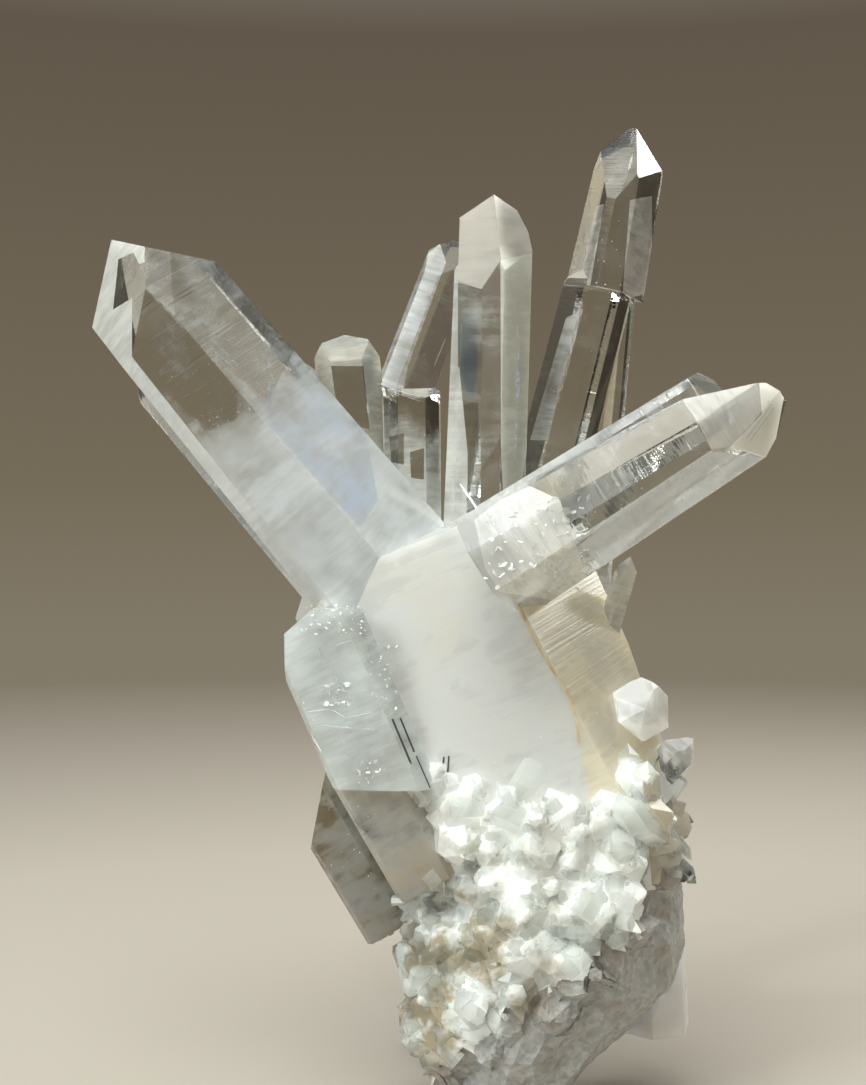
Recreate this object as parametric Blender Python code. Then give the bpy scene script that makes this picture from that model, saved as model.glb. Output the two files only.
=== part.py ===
# Quartz cluster: clear points on a milky trunk, grown over a druse crust and its grey matrix.
# It stands on a flat cut at Z = 0, seen from -Y. Lengths are in millimetres and angles in degrees.

import math
import random

import bmesh
import bpy
from mathutils import Matrix, Vector, noise

MM = 0.001
BLANK = 400.0            # side of the block that each crystal is cut from
CUT_TOLERANCE = 1e-4
PYRAMID_SLOPE = 52.0     # from the crystal's axis to a pyramid face's normal
SIDES = 6
TOWARD_VIEWER = Vector((0.0, -1.0, 0.0))

# Crystals whose faces show clearly. Each starts from a point on its axis, "at". "lean" is the axis
# clockwise from upright, "tilt" is towards the viewer, and "roll" turns the faces about the axis.
# A side is (azimuth from the viewer, distance), a cap face is (azimuth, slope, distance).
LEFT_POINT = {
    "at": (-59.2, 0.0, 143.8), "lean": -39.5, "tilt": 6.0, "roll": 9.5, "taper": 1.3, "root": 62.0,
    "sides": ((2, 15.9), (46, 12.6), (122, 16.1), (180, 15.0), (265, 10.5), (293, 14.9)),
    "caps": ((43, 85, 13.9), (74, 51, 24.3), (189, 58, 44.3), (263, 65, 21.5), (298, 42, 18.9)),
}
CENTRE_POINT = {
    "at": (-1.2, 0.0, 160.8), "lean": 0.5, "tilt": 6.0, "roll": -47.0, "taper": -0.7, "root": 62.0,
    "sides": ((10, 8.9), (52, 8.7), (112, 4.9), (174, 8.6), (240, 8.0), (312, 7.0)),
    "caps": ((18, 69, 9.2), (105, 71, 7.2), (178, 59, 14.7), (260, 40, 14.8)),
}
TALL_POINT = {
    "at": (28.4, 20.0, 181.1), "lean": 10.7, "tilt": 5.3, "roll": -45.0, "taper": 2.1, "root": 16.0,
    "sides": ((-6, 10.1), (61, 8.6), (112, 3.2), (179, 8.8), (238, 8.1), (328, 8.1)),
    "caps": ((-2, 60, 10.1), (102, 59, 7.6), (176, 41, 14.2), (250, 63, 12.6)),
}
FRONT_POINT = {
    "at": (33.5, -25.0, 131.1), "lean": 58.8, "tilt": 8.1, "roll": -51.5, "taper": 2.9, "root": 44.0,
    "sides": ((0, 10.0), (60, 12.3), (122, 7.0), (180, 15.1), (240, 12.0), (300, 4.2)),
    "caps": ((2, 54, 9.4), (61, 42, 9.6), (110, 52, 9.5), (190, 56, 22.0), (299, 44, 14.9)),
}
TRUNK = {
    "at": (-4.8, 8.0, 92.3), "lean": -22.5, "tilt": 0.0, "roll": 0.0, "taper": 0.0, "root": 41.0,
    "sides": ((180, 24.0), (240, 24.0), (300, 31.0)),
    "caps": ((-1, 77, 24.1), (58, 79, 21.9), (90, 96, 29.7), (114, 99, 27.3), (0, 3, 24.0),
             (270, 45, 35.5), (-9, 111, 41.0)),
}
BACK_LEFT_POINT = {
    "at": (-16.3, 16.0, 159.2), "lean": 21.0, "tilt": 0.0, "roll": 0.0, "taper": 0.3, "root": 16.0,
    "sides": ((-75, 3.4), (-15, 4.1), (30, 4.1), (95, 8.0), (165, 5.0), (225, 3.2)),
    "caps": ((-15, 52, 9.0), (270, 42, 13.8), (180, 52, 14.0), (100, 52, 19.0)),
}
LOWER_LEFT_PRISM = {
    "at": (-32.9, -14.0, 91.4), "lean": -23.6, "tilt": 0.0, "roll": 0.0, "taper": 0.0, "root": 40.0,
    "sides": ((-5, 12.0), (55, 11.7), (115, 5.0), (175, 12.5), (235, 2.2), (295, 12.0)),
    "caps": ((90, 24, 8.6), (270, 18, 8.4), (270, 67, 7.9), (270, 156, 24.4)),
}
BROWN_PRISM = {
    "at": (-20.3, -12.0, 57.9), "lean": -30.0, "tilt": 0.0, "roll": 0.0, "taper": 0.0, "root": 12.0,
    "sides": ((-5, 8.0), (55, 8.5), (115, 6.5), (175, 16.0), (235, 2.8), (295, 7.7)),
    "caps": ((0, 0, 16.0),),
}
GREY_PLATE = {
    "at": (-30.3, 10.0, 46.7), "lean": -31.0, "tilt": 0.0, "roll": 0.0, "taper": 0.0, "root": 15.5,
    "sides": ((-5, 8.0), (55, 8.0), (115, 7.0), (175, 9.0), (235, 1.5), (295, 6.9)),
    "caps": ((270, 48, 8.6), (0, 0, 22.0)),
}
SMALL_BLUNT_POINT = {
    "at": (-31.8, 18.0, 151.0), "lean": -6.0, "tilt": 0.0, "roll": 0.0, "taper": 0.0, "root": 46.0,
    "sides": ((0, 6.3), (60, 6.0), (120, 6.0), (180, 6.3), (240, 6.0), (300, 6.0)),
    "caps": ((0, 52, 4.4), (90, 18, 4.9), (90, 60, 6.0), (180, 52, 5.0), (270, 16, 4.9), (270, 50, 6.0)),
}
BLOCK_BELOW_BACK_LEFT = {
    "at": (-18.0, 14.0, 133.8), "lean": -1.0, "tilt": 0.0, "roll": 0.0, "taper": -0.5, "root": 27.0,
    "sides": ((0, 5.4), (60, 5.2), (120, 5.2), (180, 5.4), (240, 5.2), (300, 5.2)),
    "caps": ((20, 24, 10.0), (200, 20, 11.0)),
}
EDGE_BEHIND_FRONT_POINT = {
    "at": (18.5, -12.0, 132.0), "lean": 58.8, "tilt": 8.0, "roll": 0.0, "taper": 0.0, "root": 27.0,
    "sides": ((30, 8.0), (90, 9.0), (150, 8.0), (210, 5.0), (270, 1.4), (330, 5.0)),
    "caps": ((300, 30, 19.0), (120, 40, 22.0)),
}
MEASURED = (TRUNK, LEFT_POINT, CENTRE_POINT, TALL_POINT, FRONT_POINT, BACK_LEFT_POINT,
            LOWER_LEFT_PRISM, BROWN_PRISM, GREY_PLATE, SMALL_BLUNT_POINT, BLOCK_BELOW_BACK_LEFT,
            EDGE_BEHIND_FRONT_POINT)

# Plainer crystals, from foot to tip. "wide" and "deep" are across the faces, "drops" is how far
# below the tip each pyramid face meets the axis, and "blunt" cuts the tip off square.
CRYSTALS = {
    "tall point's lower length": {"foot": (5.0, 21.0, 100.0), "tip": (24.1, 20.0, 176.0),
                                  "wide": 15.4, "deep": 17.0, "roll": 8, "drops": (0, 2, 1, 0, 2, 1)},
    "thin crystal behind it": {"foot": (21.6, 25.0, 96.0), "tip": (28.5, 25.0, 168.5),
                               "wide": 5.8, "deep": 4.4, "roll": 20, "drops": (0, 1, 2, 0, 1, 1)},
    "strip on the centre point": {"foot": (-9.2, -1.0, 106.0), "tip": (-7.2, -2.0, 169.5),
                                  "wide": 5.2, "deep": 6.0, "roll": 15, "drops": (0, 1, 0, 2, 1, 0)},
    "slab under the left point": {"foot": (-27.8, 11.0, 93.0), "tip": (-74.8, 8.0, 148.5),
                                  "wide": 9.5, "deep": 8.0, "roll": 10, "drops": (0, 2, 1, 0, 1, 2)},
    "nub on the front point": {"foot": (25.0, -25.0, 114.5), "tip": (28.4, -26.0, 111.6),
                               "wide": 3.0, "deep": 3.0, "roll": 0, "drops": (0, 0, 0, 0, 0, 0)},
    "tan column": {"foot": (33.2, 15.0, 10.5), "tip": (30.6, 14.0, 71.0),
                   "wide": 14.0, "deep": 15.0, "roll": 16, "drops": (0, 2, 1, 0, 2, 1)},
    "upper shoulder point": {"foot": (20.5, 8.0, 88.0), "tip": (27.2, 8.0, 110.4),
                             "wide": 5.2, "deep": 5.2, "roll": 24, "drops": (0, 1, 0, 2, 1, 0)},
    "lower shoulder point": {"foot": (20.6, 2.0, 99.0), "tip": (18.0, 0.0, 110.0),
                             "wide": 4.4, "deep": 4.4, "roll": 5, "drops": (0, 0, 1, 0, 1, 0)},
    "small point facing the viewer": {"foot": (24.0, 5.0, 76.5), "tip": (28.2, -15.0, 81.4),
                                      "wide": 12.4, "deep": 11.6, "roll": 8, "drops": (0, 1, 2, 0, 1, 0),
                                      "slope": 40},
    "small point facing right": {"foot": (22.0, -6.0, 57.5), "tip": (38.2, -6.0, 75.0),
                                 "wide": 7.6, "deep": 7.6, "roll": 12, "drops": (0, 1, 0, 2, 1, 1)},
    "blade": {"foot": (20.0, -15.0, 63.0), "tip": (37.0, -15.0, 47.0),
              "wide": 4.4, "deep": 3.6, "roll": 30, "drops": (0, 1, 0, 0, 1, 0)},
    "back point leaning left": {"foot": (-8.0, 22.0, 84.0), "tip": (-27.0, 45.0, 112.0),
                                "wide": 15.0, "deep": 13.0, "roll": 20, "drops": (0, 3, 1, 4, 0, 2)},
    "back point leaning right": {"foot": (10.0, 24.0, 70.0), "tip": (19.0, 47.0, 88.0),
                                 "wide": 11.0, "deep": 10.0, "roll": -12, "drops": (0, 1, 3, 0, 2, 1)},
    "low back point": {"foot": (4.0, 18.0, 50.0), "tip": (-8.0, 41.0, 58.0),
                       "wide": 12.0, "deep": 10.0, "roll": 40, "drops": (2, 0, 1, 3, 0, 1)},
}
LEAST_TAPER, MOST_TAPER = 0.6, 1.6
FLAT_SHARE = 0.92        # of the width, from face to face, where the width is from edge to edge

# The crust and matrix as level rings: height, centre X, centre Y, half width, half depth.
BODY_RINGS = (
    (0.0, -0.8, 2.0, 12.4, 19.0), (4.0, 0.6, 1.5, 14.2, 21.5), (10.0, 2.6, 0.5, 18.4, 23.5),
    (17.0, 5.1, 0.0, 21.9, 25.0), (26.0, 9.6, 0.0, 26.8, 26.0), (36.0, 11.6, 0.0, 28.4, 27.0),
    (46.0, 12.0, 0.0, 27.4, 27.5), (56.0, 9.4, 0.5, 25.2, 27.0), (66.0, 8.0, 1.5, 22.6, 24.0),
    (73.0, 5.0, 4.0, 13.0, 15.0),
)
BODY_SEGMENTS = 32
BODY_LEVELS = 14         # steps between the foot and the highest ring
BODY_LUMPS = ((10.0, 3.4), (4.5, 2.0))   # spacing and height of its lumps
SAME_LEVEL = 0.01        # height between two points of one ring

# The crust's crystals: how many to a row, rows, width, how far they stand out, and how far they
# stray from straight out.
DRUSE_SEED = 11
DRUSE_LOW, DRUSE_HIGH = 9.0, 70.0
DRUSE_DEPTH = 7.0        # from the crust's level down to a crystal's foot
DRUSE_SHIFT = 0.35       # of the spacing in its row, either way
DRUSE_DROP = 0.2         # of a crystal's width, the most that a pyramid face lies below the tip
COARSE = {"around": 25, "rows": 10, "wide": (7.0, 12.0), "out": (2.5, 6.0), "stray": 0.55}
FINE = {"around": 11, "rows": 8, "wide": (3.4, 5.6), "out": (3.6, 6.5), "stray": 0.8}
INSET = 2.0              # of the body below the crust's own level
FULL_ROW = 28.4          # half the body's width where a row holds all its crystals
LEAST_IN_ROW = 4
CRUST_EDGE = 51.0        # its height at the far right, falling to the left
CRUST_EDGE_POWER = 0.95

# The crust where it climbs over the trunk's front.
COLLAR_CRYSTALS = 25
COLLAR_LEFT, COLLAR_RIGHT = -14.0, 27.0
COLLAR_LOW, COLLAR_HIGH = 56.0, 65.0
COLLAR_RISE = 9.0        # of its upper edge at both ends
COLLAR_FOOT = 6.0        # from the trunk's face down to a crystal's foot
COLLAR_WIDE, COLLAR_OUT = (5.0, 10.0), (1.5, 4.5)
# The trunk's front face: its Y at the middle of the foot, and how that changes along X and Z.
FACE_Y, FACE_ALONG_X, FACE_ALONG_Z = -36.1, -0.1, 0.205


def new_object(name, bm):
    """An object from the bmesh, brought from millimetres to metres."""
    bmesh.ops.scale(bm, vec=(MM, MM, MM), verts=bm.verts)
    bmesh.ops.recalc_face_normals(bm, faces=bm.faces)
    mesh = bpy.data.meshes.new(name)
    bm.to_mesh(mesh)
    bm.free()
    made = bpy.data.objects.new(name, mesh)
    bpy.context.scene.collection.objects.link(made)
    return made


def cut_off(bm, point, normal):
    """Removes what lies beyond the plane and closes the cut with one face."""
    geometry = bm.verts[:] + bm.edges[:] + bm.faces[:]
    cut = bmesh.ops.bisect_plane(
        bm,
        geom=geometry,
        dist=CUT_TOLERANCE,
        plane_co=point,
        plane_no=normal,
        clear_outer=True,
    )
    rim = [item for item in cut["geom_cut"] if isinstance(item, bmesh.types.BMEdge)]
    rim = [edge for edge in rim if edge.is_boundary]
    if len(rim) > 2:
        bmesh.ops.edgeloop_fill(bm, edges=rim)


def axes_of(axis):
    """Two directions square to the crystal's axis, the first as near to the viewer as it can be."""
    across = TOWARD_VIEWER - axis * TOWARD_VIEWER.dot(axis)
    across.normalize()
    return across, axis.cross(across)


def face_normal(axis, azimuth, slope):
    across, side = axes_of(axis)
    turn, lift = math.radians(azimuth), math.radians(slope)
    level = across * math.cos(turn) + side * math.sin(turn)
    return level * math.sin(lift) + axis * math.cos(lift)


def crystal_blank(middle):
    bm = bmesh.new()
    bmesh.ops.create_cube(bm, size=BLANK, matrix=Matrix.Translation(middle))
    return bm


def measured_crystal(spec):
    """A crystal cut by the faces that were measured for it."""
    lean, tilt = math.radians(spec["lean"]), math.radians(spec["tilt"])
    axis = Vector((
        math.sin(lean) * math.cos(tilt), -math.sin(tilt), math.cos(lean) * math.cos(tilt)
    ))
    middle = Vector(spec["at"])
    bm = crystal_blank(middle)
    cut_off(bm, middle - axis * spec["root"], -axis)
    for azimuth, distance in spec["sides"]:
        normal = face_normal(axis, spec["roll"] + azimuth, 90 - spec["taper"])
        cut_off(bm, middle + normal * distance, normal)
    for azimuth, slope, distance in spec["caps"]:
        normal = face_normal(axis, spec["roll"] + azimuth, slope)
        cut_off(bm, middle + normal * distance, normal)
    return bm


def plain_crystal(foot, tip, wide, deep, roll, drops, slope=PYRAMID_SLOPE, taper=LEAST_TAPER):
    """A six-sided prism from foot to tip, with a pyramid of uneven faces."""
    foot, tip = Vector(foot), Vector(tip)
    axis = (tip - foot).normalized()
    bm = crystal_blank((foot + tip) / 2)
    cut_off(bm, foot, -axis)
    for step, drop in zip(range(SIDES), drops):
        azimuth = roll + step * 360 / SIDES
        turn = math.radians(azimuth)
        reach = math.hypot(math.cos(turn) * deep, math.sin(turn) * wide) * FLAT_SHARE / 2
        side = face_normal(axis, azimuth, 90 - taper)
        cut_off(bm, foot + side * reach, side)
        cap = face_normal(axis, azimuth, slope)
        cut_off(bm, tip - axis * drop, cap)
    return bm


def rock_body():
    """The crust and matrix: stacked level rings, skinned, then roughened into lumps."""
    bm = bmesh.new()
    rings = []
    levels = [BODY_RINGS[-1][0] * step / BODY_LEVELS for step in range(BODY_LEVELS + 1)]
    for height in levels:
        middle_x, middle_y, half_width, half_depth = body_at(height)
        inset = INSET * min(1.0, height / DRUSE_LOW)
        made = bmesh.ops.create_circle(bm, segments=BODY_SEGMENTS, radius=1.0)
        bmesh.ops.scale(bm, vec=(half_width - inset, half_depth - inset, 1.0), verts=made["verts"])
        bmesh.ops.translate(bm, vec=(middle_x, middle_y, height), verts=made["verts"])
        rings.append(made["verts"])
    for lower, upper in zip(rings, rings[1:]):
        around = {edge for vert in lower + upper for edge in vert.link_edges}
        level = [edge for edge in around if level_edge(edge)]
        bmesh.ops.bridge_loops(bm, edges=level)
    bmesh.ops.holes_fill(bm, edges=bm.edges, sides=0)
    for vert in bm.verts:
        if vert.co.z < SAME_LEVEL:
            continue
        push = Vector((vert.co.x, vert.co.y, 0.0)).normalized()
        for spacing, height in BODY_LUMPS:
            vert.co += push * height * noise.noise(vert.co / spacing)
    bmesh.ops.triangulate(bm, faces=bm.faces)
    return bm


def level_edge(edge):
    return abs(edge.verts[0].co.z - edge.verts[1].co.z) < SAME_LEVEL


def body_at(height):
    """Centre and half sizes of the body at this height, between the rings."""
    for low, high in zip(BODY_RINGS, BODY_RINGS[1:]):
        if low[0] <= height <= high[0]:
            share = (height - low[0]) / (high[0] - low[0])
            return [a + (b - a) * share for a, b in zip(low[1:], high[1:])]
    return list(BODY_RINGS[-1][1:])


def crust_crystals(chance, kind):
    """Foot, tip, width and roll of the crystals of one size, row by row around the body."""
    row_step = (DRUSE_HIGH - DRUSE_LOW) / kind["rows"]
    for row in range(kind["rows"]):
        row_height = DRUSE_LOW + row_step * (row + 0.5)
        share = body_at(row_height)[2] / FULL_ROW
        around = max(LEAST_IN_ROW, round(kind["around"] * share))
        for step in range(around):
            place = step + 0.5 * (row % 2) + chance.uniform(-DRUSE_SHIFT, DRUSE_SHIFT)
            turn = 2 * math.pi * place / around
            height = row_height + chance.uniform(-0.5, 0.5) * row_step
            wide = chance.uniform(*kind["wide"])
            out = chance.uniform(*kind["out"])
            stray = Vector((chance.uniform(-1, 1), chance.uniform(-1, 1), chance.uniform(-0.2, 1)))
            roll = chance.uniform(0, 360 / SIDES)
            if height < crust_edge(turn):
                continue
            middle_x, middle_y, half_width, half_depth = body_at(height)
            outward = Vector((math.cos(turn), math.sin(turn), 0.0))
            skin = Vector((middle_x, middle_y, height))
            skin += Vector((half_width * outward.x, half_depth * outward.y, 0.0))
            aim = (outward + stray * kind["stray"]).normalized()
            yield skin - aim * DRUSE_DEPTH, skin + aim * out, wide, roll


def crust_edge(turn):
    """The height that the crust reaches down to, at this turn from +X."""
    return CRUST_EDGE * ((math.cos(turn) + 1) / 2) ** CRUST_EDGE_POWER


def collar_crystals(chance):
    """The same for the crystals that climb over the trunk's front."""
    width = COLLAR_RIGHT - COLLAR_LEFT
    for step in range(COLLAR_CRYSTALS):
        share = (step + chance.uniform(0, 1)) / COLLAR_CRYSTALS
        across = COLLAR_LEFT + width * share
        highest = COLLAR_HIGH + COLLAR_RISE * (2 * share - 1) ** 2
        height = chance.uniform(COLLAR_LOW, highest)
        skin_y = FACE_Y + FACE_ALONG_X * across + FACE_ALONG_Z * height
        skin = Vector((across, skin_y, height))
        aim = Vector((chance.uniform(-0.6, 0.6), -1.0, chance.uniform(-0.2, 0.9))).normalized()
        tip = skin + aim * chance.uniform(*COLLAR_OUT)
        wide = chance.uniform(*COLLAR_WIDE)
        yield skin - aim * COLLAR_FOOT, tip, wide, chance.uniform(0, 360 / SIDES)


def clear_scene():
    for item in list(bpy.data.objects):
        bpy.data.objects.remove(item, do_unlink=True)


def quartz_material():
    """Clear to milky quartz."""
    material = bpy.data.materials.new("clear quartz")
    material.use_nodes = True
    shader = material.node_tree.nodes["Principled BSDF"]
    shader.inputs["Base Color"].default_value = (0.78, 0.78, 0.74, 1.0)
    shader.inputs["Roughness"].default_value = 0.12
    shader.inputs["Metallic"].default_value = 0.0
    shader.inputs["IOR"].default_value = 1.544
    shader.inputs["Transmission Weight"].default_value = 0.6
    return material


def fuse(name, pieces, material):
    """One body from overlapping pieces, without the voids that they close in between them."""
    first, others = pieces[0], pieces[1:]
    group = bpy.data.collections.new("fused")
    for piece in others:
        group.objects.link(piece)
    union = first.modifiers.new("fuse", "BOOLEAN")
    union.operation = "UNION"
    union.operand_type = "COLLECTION"
    union.collection = group
    union.solver = "EXACT"
    bpy.context.view_layer.update()
    graph = bpy.context.evaluated_depsgraph_get()
    fused = bpy.data.meshes.new_from_object(first.evaluated_get(graph))
    bm = bmesh.new()
    bm.from_mesh(fused)
    keep_outer_shell(bm)
    bm.to_mesh(fused)
    bm.free()
    for piece in pieces:
        bpy.data.objects.remove(piece, do_unlink=True)
    bpy.data.collections.remove(group)
    fused.name = name
    fused.materials.clear()
    fused.materials.append(material)
    made = bpy.data.objects.new(name, fused)
    bpy.context.scene.collection.objects.link(made)
    return made


def keep_outer_shell(bm):
    """Deletes every connected shell but the largest: a sealed void's walls."""
    unseen = set(bm.faces)
    shells = []
    while unseen:
        front = [unseen.pop()]
        shell = list(front)
        while front:
            face = front.pop()
            for edge in face.edges:
                for other in edge.link_faces:
                    if other in unseen:
                        unseen.remove(other)
                        front.append(other)
                        shell.append(other)
        shells.append(shell)
    shells.sort(key=len, reverse=True)
    for shell in shells[1:]:
        bmesh.ops.delete(bm, geom=shell, context="FACES")
    loose = [vert for vert in bm.verts if not vert.link_faces]
    bmesh.ops.delete(bm, geom=loose, context="VERTS")


def build():
    clear_scene()
    pieces = [new_object("rock", rock_body())]
    pieces += [new_object("measured", measured_crystal(spec)) for spec in MEASURED]
    pieces += [new_object("plain", plain_crystal(**spec)) for spec in CRYSTALS.values()]
    chance = random.Random(DRUSE_SEED)
    druse = [*crust_crystals(chance, COARSE), *crust_crystals(chance, FINE)]
    druse += collar_crystals(chance)
    for foot, tip, wide, roll in druse:
        drops = [chance.uniform(0, DRUSE_DROP) * wide for _ in range(SIDES)]
        bm = plain_crystal(foot, tip, wide, wide, roll, drops, taper=MOST_TAPER)
        pieces.append(new_object("druse", bm))
    fuse("quartz_cluster", pieces, quartz_material())


build()
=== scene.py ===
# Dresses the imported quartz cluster: clear points on a milky trunk, a druse crust and its grey matrix.
import math
import random

import bmesh
import bpy
import numpy as np
from mathutils import Matrix, Vector, noise
from mathutils.bvhtree import BVHTree


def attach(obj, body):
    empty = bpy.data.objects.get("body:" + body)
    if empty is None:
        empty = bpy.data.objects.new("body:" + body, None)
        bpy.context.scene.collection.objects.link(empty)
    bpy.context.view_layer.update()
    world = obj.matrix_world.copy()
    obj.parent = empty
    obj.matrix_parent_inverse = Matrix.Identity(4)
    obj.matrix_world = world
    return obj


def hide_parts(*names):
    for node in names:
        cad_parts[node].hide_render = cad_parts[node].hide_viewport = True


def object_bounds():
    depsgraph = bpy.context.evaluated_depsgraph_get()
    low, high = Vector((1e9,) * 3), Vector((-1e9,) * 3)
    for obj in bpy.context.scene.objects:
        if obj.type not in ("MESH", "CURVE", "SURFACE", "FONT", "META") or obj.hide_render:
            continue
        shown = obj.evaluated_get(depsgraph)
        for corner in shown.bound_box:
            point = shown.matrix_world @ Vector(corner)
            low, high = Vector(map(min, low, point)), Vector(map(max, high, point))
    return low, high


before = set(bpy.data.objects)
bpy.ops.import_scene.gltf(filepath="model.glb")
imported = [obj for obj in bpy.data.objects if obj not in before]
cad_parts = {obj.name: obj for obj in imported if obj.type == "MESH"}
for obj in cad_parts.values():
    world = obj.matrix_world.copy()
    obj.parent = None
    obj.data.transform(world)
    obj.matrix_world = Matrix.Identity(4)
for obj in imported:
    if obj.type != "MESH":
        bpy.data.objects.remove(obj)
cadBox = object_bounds()
scene = bpy.context.scene
mm = 0.001

# The photograph's camera: level, looking along +Y, in millimetres. Its image is 866 by 1085 pixels.
cameraSettings = {"place": (-13.6, -300.0, 112.3), "focal": 1500.0, "wide": 866, "high": 1085}
cameraPlace, focal = Vector(cameraSettings["place"]), cameraSettings["focal"]
middle = cameraSettings["wide"] / 2, cameraSettings["high"] / 2


def picturePoint(px, py, depth=0.0):
    # the point that shows at this pixel of the photograph, at the depth Y
    reach = (depth - cameraPlace.y) / focal
    across, down = (px - middle[0]) * reach, (py - middle[1]) * reach
    return Vector((cameraPlace.x + across, depth, cameraPlace.z - down))


def pictureOf(point):
    # the pixel of the photograph where this point shows
    reach = focal / (point.y - cameraPlace.y)
    return middle[0] + (point.x - cameraPlace.x) * reach, middle[1] - (point.z - cameraPlace.z) * reach


def insideOutline(outline, px, py):
    inside = False
    for (ax, ay), (bx, by) in zip(outline, outline[1:] + outline[:1]):
        if (ay > py) != (by > py) and px < (bx - ax) * (py - ay) / (by - ay) + ax:
            inside = not inside
    return inside


# The crystals, as the solids were cut. lean is clockwise from upright and tilt towards the viewer, in
# degrees. A side is (azimuth, distance) and a cap is (azimuth, slope, distance), in millimetres from
# the point "at" on the axis. A tilt, roll or taper that isn't given is 0.
crystals = {
    "trunk": {
        "at": (-4.8, 8, 92.3), "lean": -22.5,
        "sides": ((180, 24), (240, 24), (300, 31)),
        "caps": ((-1, 77, 24.1), (58, 79, 21.9), (90, 96, 29.7), (114, 99, 27.3), (0, 3, 24),
                 (270, 45, 35.5), (-9, 111, 41))},
    "left": {
        "at": (-59.2, 0, 143.8), "lean": -39.5, "tilt": 6, "roll": 9.5, "taper": 1.3,
        "sides": ((2, 15.9), (46, 12.6), (122, 16.1), (180, 15), (265, 10.5), (293, 14.9)),
        "caps": ((43, 85, 13.9), (74, 51, 24.3), (189, 58, 44.3), (263, 65, 21.5), (298, 42, 18.9))},
    "centre": {
        "at": (-1.2, 0, 160.8), "lean": 0.5, "tilt": 6, "roll": -47, "taper": -0.7,
        "sides": ((10, 8.9), (52, 8.7), (112, 4.9), (174, 8.6), (240, 8), (312, 7)),
        "caps": ((18, 69, 9.2), (105, 71, 7.2), (178, 59, 14.7), (260, 40, 14.8))},
    "tall": {
        "at": (28.4, 20, 181.1), "lean": 10.7, "tilt": 5.3, "roll": -45, "taper": 2.1,
        "sides": ((-6, 10.1), (61, 8.6), (112, 3.2), (179, 8.8), (238, 8.1), (328, 8.1)),
        "caps": ((-2, 60, 10.1), (102, 59, 7.6), (176, 41, 14.2), (250, 63, 12.6))},
    "front": {
        "at": (33.5, -25, 131.1), "lean": 58.8, "tilt": 8.1, "roll": -51.5, "taper": 2.9,
        "sides": ((0, 10), (60, 12.3), (122, 7), (180, 15.1), (240, 12), (300, 4.2)),
        "caps": ((2, 54, 9.4), (61, 42, 9.6), (110, 52, 9.5), (190, 56, 22), (299, 44, 14.9))},
    "backLeft": {
        "at": (-16.3, 16, 159.2), "lean": 21, "taper": 0.3,
        "sides": ((-75, 3.4), (-15, 4.1), (30, 4.1), (95, 8), (165, 5), (225, 3.2)),
        "caps": ((-15, 52, 9), (270, 42, 13.8), (180, 52, 14), (100, 52, 19))},
    "greyPrism": {
        "at": (-32.9, -14, 91.4), "lean": -23.6,
        "sides": ((-5, 12), (55, 11.7), (115, 5), (175, 12.5), (235, 2.2), (295, 12)),
        "caps": ((90, 24, 8.6), (270, 18, 8.4), (270, 67, 7.9), (270, 156, 24.4))},
    "brownPrism": {
        "at": (-20.3, -12, 57.9), "lean": -30,
        "sides": ((-5, 8), (55, 8.5), (115, 6.5), (175, 16), (235, 2.8), (295, 7.7)),
        "caps": ((0, 0, 16),)},
    "greyPlate": {
        "at": (-30.3, 10, 46.7), "lean": -31,
        "sides": ((-5, 8), (55, 8), (115, 7), (175, 9), (235, 1.5), (295, 6.9)),
        "caps": ((270, 48, 8.6), (0, 0, 22))},
    "blunt": {
        "at": (-31.8, 18, 151), "lean": -6,
        "sides": ((0, 6.3), (60, 6), (120, 6), (180, 6.3), (240, 6), (300, 6)),
        "caps": ((0, 52, 4.4), (90, 18, 4.9), (90, 60, 6), (180, 52, 5), (270, 16, 4.9),
                 (270, 50, 6))},
    "block": {
        "at": (-18, 14, 133.8), "lean": -1, "taper": -0.5,
        "sides": ((0, 5.4), (60, 5.2), (120, 5.2), (180, 5.4), (240, 5.2), (300, 5.2)),
        "caps": ((20, 24, 10), (200, 20, 11))},
    "edge": {
        "at": (18.5, -12, 132), "lean": 58.8, "tilt": 8,
        "sides": ((30, 8), (90, 9), (150, 8), (210, 5), (270, 1.4), (330, 5)),
        "caps": ((300, 30, 19), (120, 40, 22))},
}
# The plainer ones: foot, tip and width.
plainCrystals = {
    "tallFoot": ((5, 21, 100), (24.1, 20, 176), 17),
    "thinBehind": ((21.6, 25, 96), (28.5, 25, 168.5), 5.8),
    "strip": ((-9.2, -1, 106), (-7.2, -2, 169.5), 6),
    "slab": ((-27.8, 11, 93), (-74.8, 8, 148.5), 9.5),
    "nub": ((25, -25, 114.5), (28.4, -26, 111.6), 3),
    "tanColumn": ((33.2, 15, 10.5), (30.6, 14, 71), 15),
    "shoulder": ((20.5, 8, 88), (27.2, 8, 110.4), 5.2),
    "lowShoulder": ((20.6, 2, 99), (18, 0, 110), 4.4),
    "facing": ((24, 5, 76.5), (28.2, -15, 81.4), 12.4),
    "pointRight": ((22, -6, 57.5), (38.2, -6, 75), 7.6),
    "blade": ((20, -15, 63), (37, -15, 47), 4.4),
    "backOne": ((-8, 22, 84), (-27, 45, 112), 15),
    "backTwo": ((10, 24, 70), (19, 47, 88), 11),
    "backThree": ((4, 18, 50), (-8, 41, 58), 12),
}
names = [*crystals, *plainCrystals, "druse", "matrix"]


def axisOf(spec):
    lean, tilt = math.radians(spec["lean"]), math.radians(spec.get("tilt", 0))
    return Vector((math.sin(lean) * math.cos(tilt), -math.sin(tilt), math.cos(lean) * math.cos(tilt)))


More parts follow.
